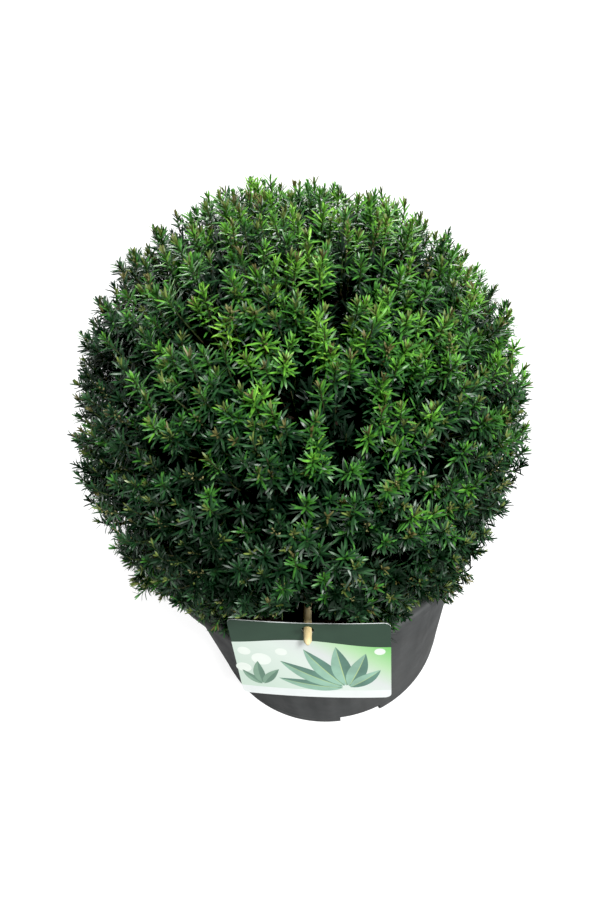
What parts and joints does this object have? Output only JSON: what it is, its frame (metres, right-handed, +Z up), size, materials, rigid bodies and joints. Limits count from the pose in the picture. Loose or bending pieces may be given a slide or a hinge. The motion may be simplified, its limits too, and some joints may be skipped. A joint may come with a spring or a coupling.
{
  "type": "clipped yew ball in a nursery container",
  "caption": "Dense evergreen ball of short dark green needles on a short forked stem, in a tapering round plastic container of soil, with a picture label on a bare twig.",
  "frame": {"origin": "middle of the container's flat underside, on the surface that it stands on", "axes": "+Z up along the stem and the container's axis; -Y towards the front, where the label hangs; +X to the right seen from the front"},
  "size_m": [0.3259, 0.3233, 0.481],
  "materials": {
    "container_plastic": "dark grey moulded plastic, satin, with faint upright streaks and a little dust",
    "soil": "dark potting soil of peat and bark, matt and crumbly",
    "bark": "thin flaking grey-brown bark",
    "foliage": "narrow glossy needles, vivid green at the top and dark green below, with a few yellow-olive and brown tips",
    "label_card": "printed semi-gloss plastic card, dark green band over a pale green picture field, bare white strip below",
    "bare_wood": "pale peeled wood"
  },
  "bodies": {
    "root": {"pot": "container_plastic", "soil": "soil", "trunk": "bark", "bough_1": "bark", "bough_2": "bark", "bough_3": "bark", "bough_4": "bark", "bough_5": "bark", "bough_6": "bark", "crown": "foliage", "label": "label_card", "label_twig": "bare_wood"}
  },
  "joints": []
}
